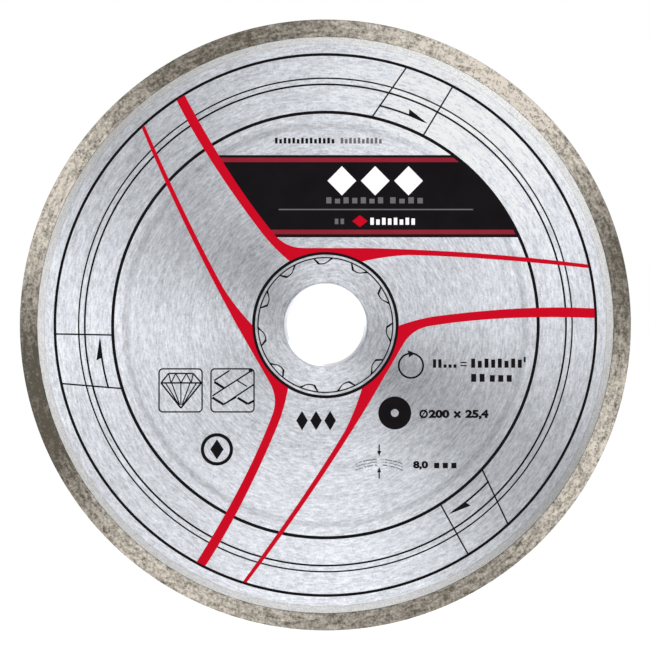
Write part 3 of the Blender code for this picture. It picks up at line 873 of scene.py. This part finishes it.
def turnMarkOutlines():                     # a ring that ends in an arrow head, as two closed halves
    head, tip = icons["turnHead"]
    outlines = []
    for side in (1, -1):
        edge = icons["turnRadius"] + side * icons["turnLine"] / 2
        barb = clock(icons["turnRadius"] + side * icons["turnBarb"], head)
        outlines.append(moved(arc(edge, tip, head + 360, 5) + [barb], icons["turnMark"]))
    return outlines


for name, (nodeName, place) in icons["frames"].items():
    side, corner, line = icons["frameSide"], icons["frameCorner"], icons["frameLine"]
    outlines = [roundedSquare(side, corner), roundedSquare(side - 2 * line, corner - line)]
    printBlack(name, [moved(points, place) for points in outlines], [nodeName])

# a cut stone: table, girdle and the facets between them, down to the point
stone = {
    "table": -15.85, "tableEnds": (-51.3, -43.3), "tableStops": (-49.0, -45.5),
    "girdle": -18.95, "girdleEnds": (-53.8, -40.6), "girdleStops": (-50.5, -47.25, -43.9),
    "point": (-47.3, -27.2), "facets": (-52.3, -50.3, -47.3, -44.3, -42.2),
    "facetFoot": (0.12, 1.0),               # where facets end: share of their spread, height over the point
    "lines": (0.50, 0.46, 0.48, 0.52, 0.38),    # girdle, table, crown, sides, facets
}


def gemStrokes():
    girdleLine, tableLine, crownLine, sideLine, facetLine = stone["lines"]
    tableEnds, girdleEnds = ([(x, stone[key]) for x in stone[key + "Ends"]] for key in ("table", "girdle"))
    tableStops, girdleStops = ([(x, stone[key]) for x in stone[key + "Stops"]] for key in ("table", "girdle"))
    strokes = [(*girdleEnds, girdleLine), (*tableEnds, tableLine)]
    strokes += [(start, end, crownLine) for start, end in zip(girdleEnds, tableEnds)]
    strokes += [(start, stone["point"], sideLine) for start in girdleEnds]
    zigzag = [tableEnds[0], girdleStops[0], tableStops[0], girdleStops[1], tableStops[1], girdleStops[2],
              tableEnds[1]]
    strokes += [(start, end, facetLine) for start, end in zip(zigzag, zigzag[1:])]
    middle, low = stone["point"]
    spread, rise = stone["facetFoot"]
    return strokes + [((x, stone["girdle"]), (middle + (x - middle) * spread, low + rise), facetLine)
                      for x in stone["facets"]]


signPrint("gemDrawing", gemStrokes())

# two layers of tiles laid across each other
tiles = [((-36.4, -18.2), (-31.4, -14.9), 0.48), ((-37.0, -23.2), (-24.2, -14.95), 0.48),
         ((-28.8, -18.2), (-25.6, -20.15), 0.42), ((-33.4, -26.05), (-23.3, -19.4), 0.48),
         ((-36.4, -18.6), (-33.2, -20.65), 0.80), ((-37.0, -23.75), (-33.4, -26.0), 0.80),
         ((-33.4, -26.0), (-29.2, -23.6), 0.55), ((-28.7, -23.85), (-25.4, -25.85), 0.80),
         ((-25.4, -25.85), (-23.4, -24.8), 0.70), ((-25.1, -14.7), (-23.9, -15.2), 0.70)]
signPrint("tileDrawing", tiles)

printBlack("boreMark", [moved(circle(radius), icons["boreMark"]) for radius in icons["boreRadii"]],
           ["bore_icon"])
printBlack("plainRing", ringOutlines(icons["plainMark"], *icons["plainRadii"]))
printBlack("plainGem", [rhombus(icons["plainMark"], icons["plainGem"])])
printBlack("turnMark", turnMarkOutlines(), ["rotation_icon"])

# the rim's section: a grainy band of three shallow arcs between two arrows
section = {
    "middle": 17.6, "reach": 7.8, "gap": 0.7, "steps": 64,
    "arcs": ((-43.95, -45.55, 0.20), (-45.85, -47.55, 0.20), (-44.9, -46.55, 0.14)),  # middle, end, size
    "leftOut": 0.2, "scatter": 0.12, "crumb": (0.085, 0.03),
    "arrows": {"rimArrowUpper": (-42.9, -39.1), "rimArrowLower": (-46.55, -50.3)},       # tip, tail
    "arrowWidth": 0.42, "arrowHead": 1.35,
}


def arrowTo(tip, tail):                     # an upright arrow
    x, width, head = section["middle"], section["arrowWidth"] / 2, section["arrowHead"] / 2
    neck = tip - math.copysign(section["arrowHead"] * 1.25, tip - tail)
    return [(x - width, tail), (x - width, neck), (x - head, neck), (x, tip), (x + head, neck),
            (x + width, neck), (x + width, tail)]


def sectionCrumbs():
    random.seed(3)
    crumbs = []
    for step in range(section["steps"]):
        along = -1 + 2 * (step + 0.5) / section["steps"]
        if abs(along) * section["reach"] < section["gap"]:
            continue
        for middle, end, high in section["arcs"]:
            if random.random() < section["leftOut"]:
                continue
            x = section["middle"] + along * section["reach"]
            z = middle + (end - middle) * along * along
            z += random.uniform(-section["scatter"], section["scatter"])
            half = section["crumb"][0] + random.random() * section["crumb"][1]
            crumbs.append([(x - half, z - high), (x - half, z + high), (x + half, z + high),
                           (x + half, z - high)])
    return crumbs


for name, (tip, tail) in section["arrows"].items():
    printBlack(name, [arrowTo(tip, tail)])
finishPiece(flatPrint("rimSection", sectionCrumbs()), materials["greyInk"])
print("pictograms done")


# studio
studio = {
    "lens": 150, "sensor": 36, "frameWidth": 212.74 * mm, "aim": (-0.13 * mm, 0.0),
    "floorDrop": 60 * mm, "floorSide": 60, "floorColour": (0.95, 0.95, 0.95, 1), "floorGlow": 0.50,
    "worldForCamera": 1.0, "worldForObject": 0.55,
    "lamps": {"keyLight": ((0.55, -0.75, 0.75), (0.6, 0.6), 4.8),        # place, size, power
              "fillLight": ((-0.7, -0.8, -0.1), (0.5, 0.8), 2.0)},
}


def addLamp(name, place, size, power):
    lamp = bpy.data.lights.new(name, "AREA")
    lamp.shape = "RECTANGLE"
    lamp.size, lamp.size_y = size
    lamp.energy = power
    obj = bpy.data.objects.new(name, lamp)
    obj.location = place
    obj.rotation_euler = (-Vector(place)).to_track_quat("-Z", "Y").to_euler()
    bpy.context.scene.collection.objects.link(obj)


def addFloor():
    deselectAll()
    bpy.ops.mesh.primitive_plane_add(size=studio["floorSide"],
                                     location=(0, 0, cadBounds[0][2] - studio["floorDrop"]))
    floor = bpy.context.object
    floor.name = "floor"
    paint = Finish("floorPaint")
    paint.give(Base_Color=studio["floorColour"], Roughness=0.9, Emission_Color=(1, 1, 1, 1),
               Emission_Strength=studio["floorGlow"])
    floor.data.materials.append(paint.material)


def addWorld():                             # white to the camera, softer on the blade
    world = bpy.data.worlds.new("studioWorld")
    bpy.context.scene.world = world
    world.use_nodes = True
    nodes, links = world.node_tree.nodes, world.node_tree.links
    background = nodes["Background"]
    background.inputs["Color"].default_value = (1, 1, 1, 1)
    path = nodes.new("ShaderNodeLightPath")
    spread = nodes.new("ShaderNodeMapRange")
    spread.inputs["To Min"].default_value = studio["worldForObject"]
    spread.inputs["To Max"].default_value = studio["worldForCamera"]
    links.new(path.outputs["Is Camera Ray"], spread.inputs["Value"])
    links.new(spread.outputs[0], background.inputs["Strength"])


def addCamera():
    lens = bpy.data.cameras.new("camera")
    lens.lens = studio["lens"]
    lens.sensor_width = studio["sensor"]
    camera = bpy.data.objects.new("camera", lens)
    distance = studio["frameWidth"] * studio["lens"] / studio["sensor"]
    camera.location = (studio["aim"][0], -distance - blade["steelFace"], studio["aim"][1])
    camera.rotation_euler = upright
    bpy.context.scene.collection.objects.link(camera)
    bpy.context.scene.camera = camera


addFloor()
addWorld()
for name, lamp in studio["lamps"].items():
    addLamp(name, *lamp)
addCamera()
bpy.context.scene.view_settings.view_transform = "Standard"
print("studio set")
